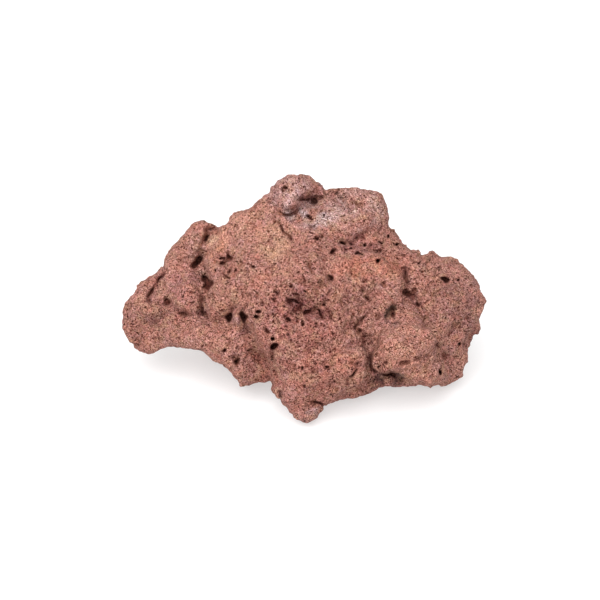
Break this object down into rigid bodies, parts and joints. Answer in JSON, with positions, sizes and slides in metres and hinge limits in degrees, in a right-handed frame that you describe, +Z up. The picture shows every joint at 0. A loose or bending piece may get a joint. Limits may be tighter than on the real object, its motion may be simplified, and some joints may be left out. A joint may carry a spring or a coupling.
{
  "type": "lava rock",
  "caption": "Irregular lump of red, porous lava stone that rests on flattened feet, for a planted tank, a terrarium, a fire pit or a rockery.",
  "frame": {"origin": "bottom centre of the rock's box, on the surface it rests on", "axes": "+X along the rock's length, +Y from its broad pitted face to its back, +Z up"},
  "size_m": [0.161, 0.1094, 0.091],
  "materials": {
    "scoria": "rough, matt and pitted"
  },
  "bodies": {
    "root": {"lava_rock": "scoria"}
  },
  "joints": []
}
